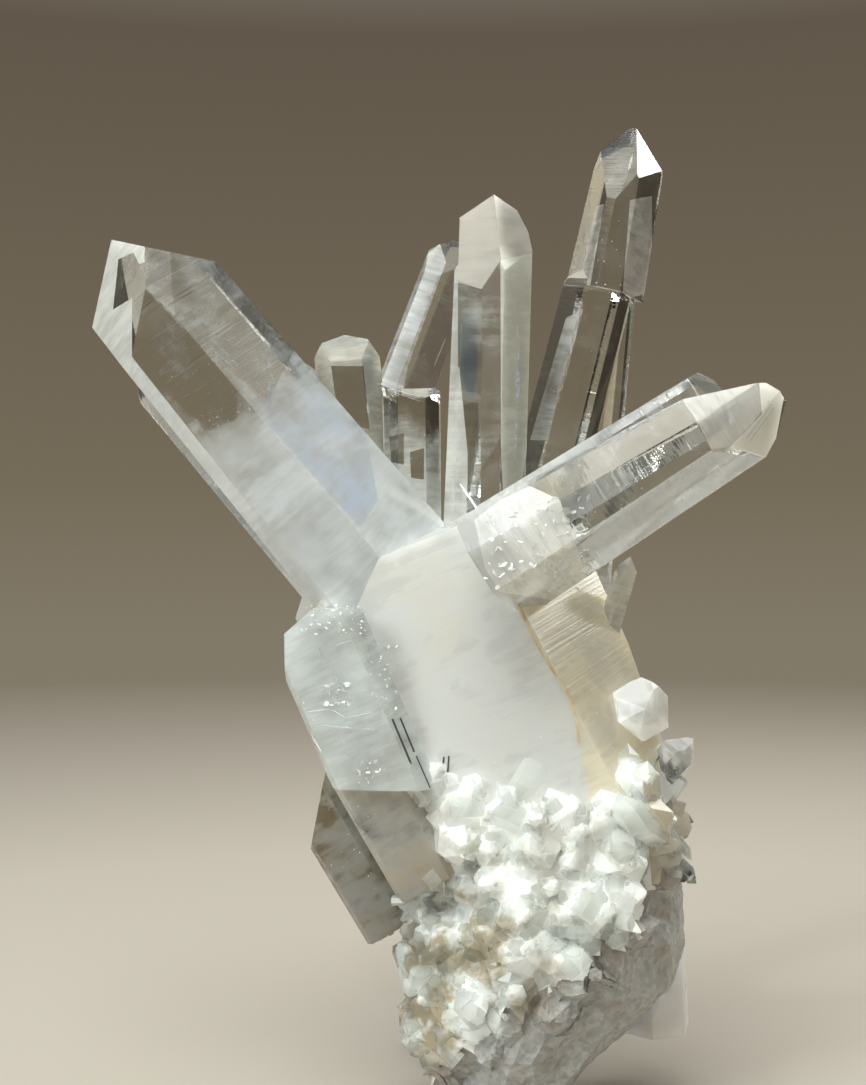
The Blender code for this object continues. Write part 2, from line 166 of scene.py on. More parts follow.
def planesOf(spec):
    # every face of the crystal, as its outward normal and its distance from the origin
    axis, at = axisOf(spec), Vector(spec["at"])
    across = Vector((0, -1, 0)) - axis * axis.dot(Vector((0, -1, 0)))
    across.normalize()
    side = axis.cross(across)
    faces = [(azimuth, 90 - spec.get("taper", 0), distance) for azimuth, distance in spec["sides"]]
    planes = []
    for azimuth, slope, distance in faces + list(spec["caps"]):
        turn, lift = math.radians(azimuth + spec.get("roll", 0)), math.radians(slope)
        normal = (across * math.cos(turn) + side * math.sin(turn)) * math.sin(lift) + axis * math.cos(lift)
        planes.append((normal, normal.dot(at) + distance))
    return planes


# The body under the crust, ring by ring: height, middle in X and Y, half width and half depth.
bodyRings = (
    (0.0, -0.8, 2.0, 12.4, 19.0), (4.0, 0.6, 1.5, 14.2, 21.5), (10.0, 2.6, 0.5, 18.4, 23.5),
    (17.0, 5.1, 0.0, 21.9, 25.0), (26.0, 9.6, 0.0, 26.8, 26.0), (36.0, 11.6, 0.0, 28.4, 27.0),
    (46.0, 12.0, 0.0, 27.4, 27.5), (56.0, 9.4, 0.5, 25.2, 27.0), (66.0, 8.0, 1.5, 22.6, 24.0),
    (73.0, 5.0, 4.0, 13.0, 15.0))

# The crust's lower edge, in millimetres: how high it is at the right and how it bends, how far above it
# the bare matrix reaches and how wide the matrix's brown border is, and the height that ends the crust.
crust = {"rightEdge": 51.0, "bend": 0.95, "matrixRise": 6.0, "stained": 9.0, "top": 82.0}


def crustEdge(point):
    # the crust's lower edge at this turn round the body: high at the right, down to the foot at the left
    for low, high in zip(bodyRings, bodyRings[1:]):
        if low[0] <= point.z <= high[0]:
            share = (point.z - low[0]) / (high[0] - low[0])
            middleX, middleY, halfWide, halfDeep = (a + (b - a) * share for a, b in zip(low[1:], high[1:]))
            turn = math.atan2((point.y - middleY) / halfDeep, (point.x - middleX) / halfWide)
            return crust["rightEdge"] * ((math.cos(turn) + 1) / 2) ** crust["bend"]
    return 0.0


def awayFrom(spec, point):
    away = point - Vector(spec["at"])
    axis = axisOf(spec)
    return (away - axis * away.dot(axis)).length


# How a face is matched: how alike its normal and a crystal's plane are and how far off the plane it is,
# or, for a plain crystal, how far from its axis in widths, how far past its foot and tip, and how steep.
matching = {"alike": 0.9998, "off": 0.04, "reach": 0.56, "past": (1, 0.5), "flank": 0.05, "end": (0.5, 0.8)}


def ownerOf(normal, centre, planes):
    for name, own in planes.items():
        for planeNormal, distance in own:
            off = abs(planeNormal.dot(centre) - distance)
            if normal.dot(planeNormal) > matching["alike"] and off < matching["off"]:
                return name
    below, beyond = matching["past"]
    for name, (foot, tip, wide) in plainCrystals.items():
        foot, tip = Vector(foot), Vector(tip)
        axis = (tip - foot).normalized()
        along = (centre - foot).dot(axis)
        away = (centre - foot - axis * along).length
        if -below < along < (tip - foot).length + beyond and away < wide * matching["reach"]:
            lift = abs(normal.dot(axis))
            if lift < matching["flank"] or matching["end"][0] < lift < matching["end"][1]:
                return name
    if centre.z > crust["top"]:
        return min(crystals, key=lambda name: awayFrom(crystals[name], centre))
    return "matrix" if centre.z < crustEdge(centre) + crust["matrixRise"] else "druse"


# The skin is cut where its look changes. A patch has its crystal, how white it is, from clear at 0
# to white at 1, or None for the crystal's own clouds, its tint and its outline in the photograph's pixels.
# It lies on the faces towards the viewer, with "through" on the far ones too, and a crystal's name there
# hands that one the faces. The white is partly the crystals' own milk and frost and partly painted
# reflection: the white caps stand in for bright light mirrored inside the crystals, beside clear windows.
milkAndReflectionPatches = (
    # the left crystal's cap: its white is painted reflection of the light above
    ("left", 0.74, "d9dcd6", ((96, 234), (146, 244), (144.6, 262), (139, 264), (133.4, 252.4),
        (118.4, 259.3), (113, 309.6), (132, 298), (132, 357), (121, 366), (100, 345), (80, 318),
        (78, 287))),
    ("left", None, "aab6c8", ((169, 246), (216, 258), (330, 380), (366, 433), (378, 500), (360, 528),
        (175.6, 320.3))),
    ("left", 0.02, "cfd2cd", ((145, 290), (238, 386), (236, 420), (214, 428), (190, 416), (134, 358),
        (133, 298))),
    ("left", 0.10, "8fa0bb", ((169, 246), (216, 258), (296, 346), (268, 402), (175.6, 320.3))),
    ("left", 0.15, "d5d8d4", ((144.6, 244), (169.4, 248), (175.6, 320.3), (144.6, 288))),
    ("left", 0.02, "cfd2cd", ((113, 309.6), (118.4, 259.3), (133.4, 252.4), (139.1, 264.3), (144.6, 288),
        (132, 298)), "through"),
    ("left", 0.62, "d3dae0", ((121, 366), (132, 357), (245, 500), (302, 572), (290, 585), (194, 456))),
    ("blunt", 0.03, "c9c6b8", ((331, 366), (363.4, 366), (370, 430), (348, 425), (336, 400)), "through"),
    ("backLeft", 0.30, "cdd5da", ((418, 262), (440, 244), (446, 262), (408, 366), (402, 396), (382, 393),
        (382, 372), (398, 324))),
    # the centre crystal's cap: its pinkish white is partly its own frost and partly painted reflection
    ("centre", 0.60, "b0a99c", ((455, 212), (492, 190), (516, 204), (536, 233), (536, 252), (500.4, 260.4),
        (481.2, 289.1), (455, 282))),
    ("centre", 0.82, "d6dbcf", ((500.4, 260.4), (536, 252), (530, 426), (522, 482), (501.9, 497),
        (501, 440))),
    ("centre", 0.16, "b5bcbe", ((457, 282), (481.2, 289.1), (500.4, 260.4), (501, 440), (480, 470),
        (478, 402), (457, 405))),
    # the front crystal's cap: its white faces are painted reflection of the light above
    ("front", 0.46, "dcdcd4", ((698, 366), (716, 364), (764, 374), (760, 382), (698.1, 423), (683, 401))),
    ("front", 0.34, "a9a7a0", ((698.1, 423), (759, 382), (764, 414), (730, 447), (710.9, 449))),
    ("front", 1.00, "f6f7f0", ((759, 382), (786, 386), (772, 460), (730, 447), (762, 414))),
    ("front", 0.12, "ccd4da", ((683, 401), (695, 422), (565, 500), (536, 482), (647, 423))),
    ("front", 0.02, "cccac4", ((695, 423), (710, 451), (612, 515.5), (575, 519), (566, 500)), "through"),
    ("front", 0.56, "c9d3dc", ((710, 451), (764, 458), (660, 527), (602, 567), (580, 545), (612, 516))),
    ("trunk", 0.90, "d6ceb4", ((519, 604), (532, 636), (545, 659), (570, 699), (579, 743), (590, 800),
        (660, 800), (660, 640), (640, 560), (585, 560), (540, 590))),
    ("front", 0.68, "f2f4f0", ((474, 520), (485, 568), (500, 592), (552, 600), (590, 584), (570, 530),
        (560, 500), (530, 486), (500, 500))),
    ("centre", 0.04, "c5cac8", ((457, 405), (478, 402), (480, 500), (457, 507)), "through"),
    ("centre", 0.04, "c5cac8", ((500, 436), (503, 493), (484, 512), (482, 480)), "through"),
    ("backLeft", 0.04, "c5c8c4", ((446, 300), (458, 300), (458, 360), (437, 372), (422, 380), (424, 345)),
        "through"),
    ("block", 0.05, "c9cac4", ((389, 437), (404, 433), (404, 465), (391, 462)), "through"),
    ("block", 0.05, "c9cac4", ((410, 452), (424, 448), (424, 480), (411, 478)), "through"),
    ("tall", 0.40, "d8d8d4", ((630, 200), (652, 196), (652, 292), (622, 300))),
    ("tall", 0.28, "d0d0cc", ((596, 206), (604, 204), (588, 300), (576, 300))),
    ("tallFoot", 0.30, "d4d6d2", ((566, 318), (578, 312), (548, 440), (530, 440))),
    ("druse", None, "b3a890", ((642, 775), (700, 760), (700, 880), (652, 885)), "tanColumn"),
    ("tall", 0.05, "d3d3cf", ((606, 149), (634, 124), (641, 171), (609, 197))),
)

# How cloudy each crystal is away from those outlines: its milk, the milk's unevenness and its tint.
clouds = {
    "trunk": (0.93, 0.14, "cbcdca"), "left": (0.04, 0.26, "c2cbd2"), "centre": (0.05, 0.10, "d3d6d0"),
    "tall": (0.02, 0.10, "cfd0cc"), "front": (0.04, 0.10, "e0e1dc"), "backLeft": (0.03, 0.08, "d3d8d8"),
    "greyPrism": (0.68, 0.22, "c8d3d2"), "brownPrism": (0.60, 0.45, "a8a391"),
    "greyPlate": (0.74, 0.45, "625a43"), "blunt": (0.34, 0.10, "d2cfb6"), "block": (0.06, 0.20, "d3d6d0"),
    "edge": (0.10, 0.12, "b9bfc2"), "tanColumn": (0.80, 0.20, "b3a890"), "tallFoot": (0.02, 0.10, "cfd0cc"),
    "thinBehind": (0.05, 0.10, "c4c2ba"), "strip": (0.50, 0.15, "d6d8d2"), "slab": (0.12, 0.20, "c4ccd2"),
    "facing": (0.88, 0.45, "f4f6f4"), "pointRight": (0.42, 0.35, "f2f4f0"), "blade": (0.30, 0.35, "dfe2de"),
    "shoulder": (0.35, 0.35, "bdb6a2"), "lowShoulder": (0.35, 0.35, "c6bfae"),
    "other": (0.25, 0.25, "cfd3d0"), "druse": (0.62, 0.35, "e2e4e0"), "matrix": (0.00, 0.00, "a29fa3"),
}

# The milky roots: the distances along the axis from "at", in millimetres, between which the milk sets
# in, how white it gets, and how far it takes the trunk's colour, or that of "tint".
roots = {
    "left": {"clear": 4, "cloudy": -30, "milk": 0.74, "whiten": 0.4},
    "centre": {"clear": -38, "cloudy": -52, "milk": 0.8},
    "tall": {"clear": -52, "cloudy": -72},
    "front": {"clear": -25, "cloudy": -36, "milk": 0.6},
    "backLeft": {"clear": -20, "cloudy": -40},
    "brownPrism": {"clear": 3, "cloudy": -13, "milk": 0.72, "tint": "86703f"},
    "blunt": {"clear": -24, "cloudy": -40},
    "block": {"clear": 10, "cloudy": -30},
    "edge": {"clear": 8, "cloudy": -20, "milk": 0.6},
    "tanColumn": {"clear": -22, "cloudy": -40, "milk": 1.0, "tint": "ececf4"},
    "tallFoot": {"clear": -58, "cloudy": -78},
    "thinBehind": {"clear": -58, "cloudy": -75},
    "strip": {"clear": -52, "cloudy": -64},
    "slab": {"clear": -35, "cloudy": -66},
    "other": {"clear": -10, "cloudy": -40},
}
rootMilk = 0.97  # where a root gives none of its own


def linear(code):
    # an sRGB hex colour as linear values, with an alpha of 1
    channels = [int(code[i:i + 2], 16) / 255 for i in (0, 2, 4)]
    return np.array([c / 12.92 if c <= 0.04045 else ((c + 0.055) / 1.055) ** 2.4 for c in channels] + [1.0])


# Lengths are in millimetres and angles in degrees. Worn edges are those sharper and longer than given.
skinSettings = {"merge": 0.002, "sameFace": 0.6, "edgeWear": 0.14, "sharperThan": 12, "longerThan": 2.0,
                "longestEdge": 2.2, "grainEdge": 1.15, "finestPasses": 7}
grains = {"size": 3.4, "deep": 0.5, "lumpSize": 9.0, "lumpDeep": 1.0}
matrixIndex, druseIndex = names.index("matrix"), names.index("druse")


def mergedCopy():
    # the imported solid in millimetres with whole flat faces, each marked with the crystal it belongs to
    skin = bmesh.new()
    skin.from_mesh(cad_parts["quartz_cluster"].data)
    bmesh.ops.scale(skin, vec=(1 / mm,) * 3, verts=skin.verts)
    bmesh.ops.remove_doubles(skin, verts=skin.verts, dist=skinSettings["merge"])
    flat = math.radians(skinSettings["sameFace"])
    bmesh.ops.dissolve_limit(skin, angle_limit=flat, verts=skin.verts, edges=skin.edges)
    for label in ("owner", "patch"):
        skin.faces.layers.int.new(label)
    owner = skin.faces.layers.int["owner"]
    planes = {name: planesOf(spec) for name, spec in crystals.items()}
    for face in skin.faces:
        face[owner] = names.index(ownerOf(face.normal, face.calc_center_median(), planes))
    return skin


def wearEdges(skin):
    # a narrow flat along the longer edges within each crystal
    owner = skin.faces.layers.int["owner"]
    crystalIndexes = {names.index(name) for name in crystals}
    edges = [edge for edge in skin.edges if len(edge.link_faces) == 2
             and edge.link_faces[0][owner] == edge.link_faces[1][owner]
             and edge.link_faces[0][owner] in crystalIndexes
             and edge.calc_face_angle(0.0) > math.radians(skinSettings["sharperThan"]) and edge.is_convex
             and edge.calc_length() > skinSettings["longerThan"]]
    bmesh.ops.bevel(
        skin, geom=edges, offset=skinSettings["edgeWear"], offset_type="OFFSET", affect="EDGES",
        segments=1, profile=0.5, material=-1, clamp_overlap=True)


def facesNear(skin, own, outline, through):
    # this crystal's faces near the outline that look at the viewer, or all those near it
    owner = skin.faces.layers.int["owner"]
    low = [min(p[i] for p in outline) - 2 for i in (0, 1)]
    high = [max(p[i] for p in outline) + 2 for i in (0, 1)]
    found = []
    for face in skin.faces:
        looksBack = face.normal.dot(cameraPlace - face.calc_center_median()) > 0
        if face[owner] == own and (looksBack or through):
            spots = [pictureOf(vert.co) for vert in face.verts]
            if all(min(s[i] for s in spots) < high[i] and max(s[i] for s in spots) > low[i] for i in (0, 1)):
                found.append(face)
    return found


def cutPatches(skin):
    # cuts the skin along each patch's outline and marks the faces inside
    owner, patch = skin.faces.layers.int["owner"], skin.faces.layers.int["patch"]
    for index, (name, _, _, outline, *more) in enumerate(milkAndReflectionPatches, 1):
        near = names.index(name), outline, "through" in more
        corners = [picturePoint(px, py) for px, py in outline]
        for a, b in zip(corners, corners[1:] + corners[:1]):
            faces = facesNear(skin, *near)
            edges = list(dict.fromkeys(edge for face in faces for edge in face.edges))
            verts = list(dict.fromkeys(vert for face in faces for vert in face.verts))
            cut = (a - cameraPlace).cross(b - cameraPlace).normalized()
            bmesh.ops.bisect_plane(
                skin, geom=verts + edges + faces, dist=0.01, plane_co=cameraPlace, plane_no=cut)
        for face in facesNear(skin, *near):
            if insideOutline(outline, *pictureOf(face.calc_center_median())):
                face[patch] = index
                if more and more[0] in names:
                    face[owner] = names.index(more[0])


def refine(skin):
    # short edges everywhere, and shorter ones where the matrix is to be rough
    owner = skin.faces.layers.int["owner"]
    bmesh.ops.triangulate(skin, faces=skin.faces, ngon_method="BEAUTY")
    for _ in range(skinSettings["finestPasses"]):
        tooLong = [edge for edge in skin.edges if edge.calc_length() > (
            skinSettings["grainEdge"] if any(face[owner] == matrixIndex for face in edge.link_faces)
            else skinSettings["longestEdge"])]
        if not tooLong:
            break
        bmesh.ops.subdivide_edges(skin, edges=tooLong, cuts=1)
        bmesh.ops.triangulate(skin, faces=[f for f in skin.faces if len(f.verts) > 3])
    skin.normal_update()


def roughen(skin):
    # grains and lumps in the matrix, pressed inwards and fading out at the cut that it stands on
    owner = skin.faces.layers.int["owner"]
    moves = []
    for vert in skin.verts:
        if vert.co.z > 0.05 and all(face[owner] == matrixIndex for face in vert.link_faces):
            nearest = noise.voronoi(vert.co / grains["size"])[0][0]
            rough = 0.5 + 0.5 * noise.fractal(vert.co / grains["lumpSize"], 0.7, 2.0, 4)
            depth = grains["deep"] * min(nearest, 1.0) + grains["lumpDeep"] * min(max(rough, 0.0), 1.0)
            moves.append((vert, vert.normal * depth * min(vert.co.z / 2.0, 1.0)))
    for vert, move in moves:
        vert.co -= move


def makeSkin():
    skin = mergedCopy()
    wearEdges(skin)
    cutPatches(skin)
    refine(skin)
    roughen(skin)
    bmesh.ops.scale(skin, vec=(mm,) * 3, verts=skin.verts)
    mesh = bpy.data.meshes.new("quartzCluster")
    skin.to_mesh(mesh)
    skin.free()
    return mesh


def smooth(low, high, value):
    share = np.clip((value - low) / (high - low), 0, 1)
    return share * share * (3 - 2 * share)


def field(items, label, width=1, kind=np.int32):
    # one property of all these items, as an array
    values = np.empty(len(items) * width, kind)
    items.foreach_get(label, values)
    return values.reshape(-1, width) if width > 1 else values


def ownAxis(name):
    # a crystal's axis and the point that its distances are measured from
    if name in crystals:
        return axisOf(crystals[name]), crystals[name]["at"]
    if name in plainCrystals:
        foot, tip = plainCrystals[name][:2]
        return (Vector(tip) - Vector(foot)).normalized(), tip
    return Vector((0, 0, 1)), (0, 0, 0)


def paintSkin(mesh):
    # each corner's milk and tint, and how far it lies along and round its own crystal
    count = len(mesh.loops)
    places = field(mesh.vertices, "co", 3, np.float32) / mm
    normals = field(mesh.polygons, "normal", 3, np.float32)
    cornerVert = field(mesh.loops, "vertex_index")
    owners = field(mesh.attributes["owner"].data, "value")
    faceOf = np.repeat(np.arange(len(mesh.polygons)), 3)
    patched = field(mesh.attributes["patch"].data, "value")[faceOf]
    wisps = np.array([noise.fractal(Vector(p) / 9.0, 0.6, 2.2, 4) for p in places], np.float32)[cornerVert]
    corner, own = places[cornerVert], owners[faceOf]
    milk, along, across = (np.zeros(count, np.float32) for _ in range(3))
    tint = np.ones((count, 4), np.float32)
    for index, name in enumerate(names):
        here = own == index
        if not here.any():
            continue
        axis, at = ownAxis(name)
        away = corner[here] - np.array(at)
        along[here] = away @ np.array(axis)
        across[here] = (away * np.cross(normals[faceOf[here]], np.array(axis))).sum(1)
        look = name if name in clouds else "other"
        base, uneven, code = clouds[look]
        cloud, colour = base + uneven * wisps[here], linear(code)
        if look in roots:
            root = roots[look]
            rooted = 1 - smooth(root["cloudy"], root["clear"], along[here])
            cloud = cloud + rooted * (root.get("milk", rootMilk) - base)
            whiter = linear(root.get("tint", clouds["trunk"][2])) - colour
            colour = colour + whiter * rooted[:, None] * root.get("whiten", 1.0)
        milk[here], tint[here] = np.clip(cloud, 0, 1), colour
    here = own == matrixIndex
    border = np.array([crustEdge(Vector(p)) + crust["matrixRise"] - p[2] for p in corner[here]], np.float32)
    milk[here] = 1 - smooth(0.0, crust["stained"], border)
    # the patches' whites, partly the crystals' own milk and partly painted reflection, and their tints
    for index, (_, whiteness, code, *_) in enumerate(milkAndReflectionPatches, 1):
        here = patched == index
        if whiteness is not None:
            milk[here] = np.clip(whiteness + 0.1 * wisps[here], 0, 1)
        tint[here] = linear(code)
    for label, values in (("milk", milk), ("along", along), ("across", across)):
        mesh.attributes.new(label, "FLOAT", "CORNER").data.foreach_set("value", values)
    mesh.attributes.new("tint", "FLOAT_COLOR", "CORNER").data.foreach_set("color", tint.ravel())
    slots = np.where(owners == matrixIndex, 2, np.where(owners == druseIndex, 1, 0))
    mesh.polygons.foreach_set("material_index", slots.astype(np.int32))
    mesh.polygons.foreach_set("use_smooth", np.zeros(len(mesh.polygons), bool))
    mesh.update()


def node(tree, kind, **settings):
    # one node. A setting is a property, or a socket by its name, with _ for a blank, or by _ and its
    # number. It takes a value, a socket or a node, which stands for its first output.
    made = tree.nodes.new("ShaderNode" + kind)
    for key, value in settings.items():
        label = int(key[1:]) if key[0] == "_" else key.replace("_", " ")
        if isinstance(label, str) and label not in made.inputs:
            setattr(made, key, value)
        elif isinstance(value, (bpy.types.Node, bpy.types.NodeSocket)):
            tree.links.new(getattr(value, "outputs", [value])[0], made.inputs[label])
        else:
            made.inputs[label].default_value = value
    return made


def dressed(name, surface):
    # a material with the surface that this function builds
    made = bpy.data.materials.new(name)
    made.use_nodes = True
    made.node_tree.nodes.clear()
    node(made.node_tree, "OutputMaterial", Surface=surface(made.node_tree))
    return made


def perSize(size):
    # the scale of a pattern that repeats at this many millimetres
    return 1 / (size * mm)


def patchy(tree, where, size, grain, between, most=1.0):
    # a share up to "most", in patches of this many millimetres whose edges lie "between" these values
    noisy = node(tree, "TexNoise", Scale=perSize(size), Detail=grain[0], Roughness=grain[1], Vector=where)
    return node(tree, "MapRange", From_Min=between[0], From_Max=between[1], To_Max=most, Value=noisy)


quartzIor = 1.544

# Rock crystal: clear with a cold gloss, clouded white by fine cracks and fluid where its milk attribute
# is high, with growth lines across its prism faces; where a patch set that attribute, the white is partly
# painted reflection. Sizes are in millimetres, along and round a crystal for the wisps and the growth
# lines. A Mix node's colours are its sockets 6 and 7 and its output 2.
quartzLook = {"clear": "eef0ec", "warm": "cdc9b6", "scatter": 6.0, "wisp": (1.818, 11.11), "broken": 11.11,
              "mottle": 18.18, "lines": (0.45, 33.33), "lineHeight": 0.05}


def rockCrystal(tree):
    milk, along, across = (
        node(tree, "Attribute", attribute_name=label).outputs["Fac"]
        for label in ("milk", "along", "across"))
    tint = node(tree, "Attribute", attribute_name="tint")
    where = node(tree, "TexCoord").outputs["Object"]
    onFace = node(tree, "CombineXYZ", X=along, Y=across)
    high, wide = quartzLook["wisp"]
    drawn = node(tree, "Mapping", Scale=(1 / high, 1 / wide, 1.0), Vector=onFace)
    wisps = node(
        tree, "TexNoise", noise_dimensions="2D", Scale=1.0, Detail=3.0, Roughness=0.6, Vector=drawn)
    broken = node(tree, "TexNoise", Scale=perSize(quartzLook["broken"]), Detail=1.0, Vector=where)
    streak = node(tree, "Math", operation="MULTIPLY", _0=wisps, _1=broken)
    fine = node(tree, "MapRange", From_Min=0.2, From_Max=0.36, To_Min=-0.06, To_Max=0.16, Value=streak)
    whiteness = node(tree, "Math", operation="ADD", use_clamp=True, _0=milk, _1=fine)
    kept = node(tree, "MapRange", From_Max=0.25, Value=milk)
    whiteness = node(tree, "Math", operation="MULTIPLY", _0=whiteness, _1=kept)
    milky = node(tree, "MapRange", From_Min=0.75, From_Max=0.95, Value=milk)
    cloudy = node(tree, "Math", operation="MAXIMUM", _0=whiteness, _1=milky)
    warm = patchy(tree, where, quartzLook["mottle"], (2, 0.55), (0.48, 0.68), 0.5)
    warm = node(tree, "Math", operation="MULTIPLY", _0=warm, _1=milky)
    body = node(tree, "Mix", data_type="RGBA", _7=linear(quartzLook["warm"]), _0=warm, _6=tint)
    colour = node(
        tree, "Mix", data_type="RGBA", _6=linear(quartzLook["clear"]), _0=cloudy, _7=body.outputs[2])
    rough = node(tree, "MapRange", To_Min=0.02, To_Max=0.22, Value=cloudy)
    clear = node(tree, "MapRange", To_Min=1.0, To_Max=0.0, Value=cloudy)
    high, wide = quartzLook["lines"]
    squeezed = node(tree, "Mapping", Scale=(1 / high, 1 / wide, 1.0), Vector=onFace)
    growth = node(tree, "TexNoise", noise_dimensions="2D", Scale=1.0, Detail=0.0, Vector=squeezed)
    bump = node(tree, "Bump", Strength=0.35, Distance=quartzLook["lineHeight"] * mm, Height=growth)
    return node(
        tree, "BsdfPrincipled", IOR=quartzIor, Subsurface_Weight=0.9,
        Subsurface_Radius=(1.0, 1.0, 1.0), Subsurface_Scale=quartzLook["scatter"] * mm,
        subsurface_method="BURLEY", Base_Color=colour.outputs[2], Roughness=rough,
        Transmission_Weight=clear, Normal=bump)


# Ochre clay in the druse's gaps: patchy, and most of it at the lower left. It fades from "left" to
# "right" and from "low" to "high", and its patches are "size" wide, in millimetres.
clay = {"size": 9.09, "left": -8, "right": 22, "low": 45, "high": 66}


def clayShare(tree, where, least, most):
    place = node(tree, "SeparateXYZ", Vector=where).outputs
    aside = node(
        tree, "MapRange", From_Min=clay["right"] * mm, From_Max=clay["left"] * mm, To_Min=0.2,
        Value=place["X"])
    lower = node(
        tree, "MapRange", From_Min=clay["high"] * mm, From_Max=clay["low"] * mm, To_Min=0.1,
        Value=place["Z"])
    share = patchy(tree, where, clay["size"], (4, 0.6), (least, least + 0.1), most)
    share = node(tree, "Math", operation="MULTIPLY", _0=share, _1=aside)
    return node(tree, "Math", operation="MULTIPLY", _0=share, _1=lower)


# Druse quartz, the crust between the small crystals: white, with a wet gloss and a soft glow.
druseLook = {"white": "eaece9", "grey": "d6dad8", "ochre": "9c9074", "milkAndReflectionPatches": 3.85, "scatter": 3.0}


def druseQuartz(tree):
    where = node(tree, "TexCoord").outputs["Object"]
    share = patchy(tree, where, druseLook["milkAndReflectionPatches"], (3, 0.5), (0.35, 0.6))
    tone = node(
        tree, "Mix", data_type="RGBA", _6=linear(druseLook["grey"]), _7=linear(druseLook["white"]),
        _0=share)
    colour = node(
        tree, "Mix", data_type="RGBA", _7=linear(druseLook["ochre"]), _0=clayShare(tree, where, 0.46, 0.9),
        _6=tone.outputs[2])
    return node(
        tree, "BsdfPrincipled", IOR=quartzIor, Roughness=0.12, Subsurface_Weight=1.0,
        Subsurface_Radius=(1.0, 1.0, 1.0), Subsurface_Scale=druseLook["scatter"] * mm,
        subsurface_method="BURLEY", Base_Color=colour.outputs[2])


# Matrix: grainy grey quartzite, browner along the crust and in patches, with fine glassy grains.
matrixLook = {"grey": "9c9d9b", "pale": "b9bab7", "brown": "93887a", "grain": 1.0, "stains": 8.333,
              "grainHeight": 0.3}


def greyMatrix(tree):
    where = node(tree, "TexCoord").outputs["Object"]
    border = node(tree, "Attribute", attribute_name="milk").outputs["Fac"]
    grain = node(tree, "TexVoronoi", Scale=perSize(matrixLook["grain"]), Vector=where)
    broad = node(tree, "TexNoise", Scale=perSize(matrixLook["stains"]), Detail=5.0, Vector=where)
    spread = node(tree, "SeparateColor", Color=grain.outputs["Color"])
    tone = node(
        tree, "Mix", data_type="RGBA", _6=linear(matrixLook["grey"]), _7=linear(matrixLook["pale"]),
        _0=spread)
    upper = node(tree, "Math", operation="MULTIPLY_ADD", _2=-0.22, _0=border, _1=broad)
    blotch = node(tree, "MapRange", From_Min=0.55, From_Max=0.75, To_Max=0.5, Value=broad)
    stain = node(tree, "Math", operation="MAXIMUM", _0=upper, _1=blotch)
    stain = node(tree, "MapRange", From_Max=0.4, To_Max=0.75, Value=stain)
    colour = node(
        tree, "Mix", data_type="RGBA", _7=linear(matrixLook["brown"]), _0=stain, _6=tone.outputs[2])
    bump = node(tree, "Bump", Strength=0.35, Distance=matrixLook["grainHeight"] * mm, Height=grain)
    rough = node(tree, "MapRange", To_Min=0.2, To_Max=0.7, Value=spread.outputs[1])
    return node(
        tree, "BsdfPrincipled", IOR=quartzIor, Base_Color=colour.outputs[2], Roughness=rough,
        Normal=bump)


def addPiece(name, mesh, materials):
    # a piece at the origin that rides on the one body
    for material in materials:
        mesh.materials.append(material)
    piece = bpy.data.objects.new(name, mesh)
    scene.collection.objects.link(piece)
    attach(piece, "root")
    return piece


skinMesh = makeSkin()
paintSkin(skinMesh)
cluster = addPiece("quartzCluster", skinMesh, [
    dressed("rock crystal", rockCrystal), dressed("druse quartz", druseQuartz),
    dressed("grey matrix", greyMatrix)])
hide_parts("quartz_cluster")
print("cluster skin:", len(skinMesh.polygons), "triangles")

skinTree = BVHTree.FromPolygons(
    [v.co.copy() for v in skinMesh.vertices], [tuple(p.vertices) for p in skinMesh.polygons])
deepest = 0.8  # how far through a crystal something inside it may lie


def spot(px, py, under=0.0):
    # the point "under" millimetres behind the skin at this pixel of the photograph, kept inside the crystal
    aim = (picturePoint(px, py) - cameraPlace).normalized()
    skin = skinTree.ray_cast(cameraPlace * mm, aim)[0]
    if skin is None:
        return None
    thick = skinTree.ray_cast(skin + aim * 0.02 * mm, aim)[3] or 0.0
    return skin + aim * min(under * mm, thick * deepest)


def finished(name, shape, material):
    # a piece from its bmesh, with its faces turned outwards
    bmesh.ops.recalc_face_normals(shape, faces=shape.faces)
    mesh = bpy.data.meshes.new(name)
    shape.to_mesh(mesh)
    shape.free()
    return addPiece(name, mesh, [material])


def turned(where, aim, roll=0.0):
    # a frame at a point, with its Z along "aim"
    return Matrix.Translation(where) @ aim.to_track_quat("Z", "Y").to_matrix().to_4x4() @ Matrix.Rotation(
        roll, 4, "Z")


# Small druse crystals: some water-clear and some white, each with bright flat faces, and light that
# comes through them.
smallLook = {"white": "ebedea", "ochre": "b0aa90", "seeThrough": (0.90, 0.40), "glow": 0.42, "shade": 0.9}


def smallQuartz(tree):
    where = node(tree, "TexCoord").outputs["Object"]
    each = node(tree, "NewGeometry").outputs["Random Per Island"]
    colour = node(
        tree, "Mix", data_type="RGBA", _6=linear(smallLook["white"]), _7=linear(smallLook["ochre"]),
        _0=clayShare(tree, where, 0.5, 0.55)).outputs[2]
    most, least = smallLook["seeThrough"]
    clear = node(tree, "MapRange", From_Min=0.15, From_Max=0.85, To_Min=most, To_Max=least, Value=each)
    glassy = node(
        tree, "BsdfPrincipled", IOR=quartzIor, Roughness=0.03, Base_Color=colour,
        Transmission_Weight=clear)
    glow = node(tree, "BsdfTranslucent", Color=colour)
    lit = node(tree, "MixShader", _0=smallLook["glow"], _1=glassy, _2=glow)
    shadow = node(tree, "LightPath").outputs["Is Shadow Ray"]
    through = node(tree, "Math", operation="MULTIPLY", _1=smallLook["shade"], _0=shadow)
    gap = node(tree, "BsdfTransparent")
    return node(tree, "MixShader", _0=through, _1=lit, _2=gap)


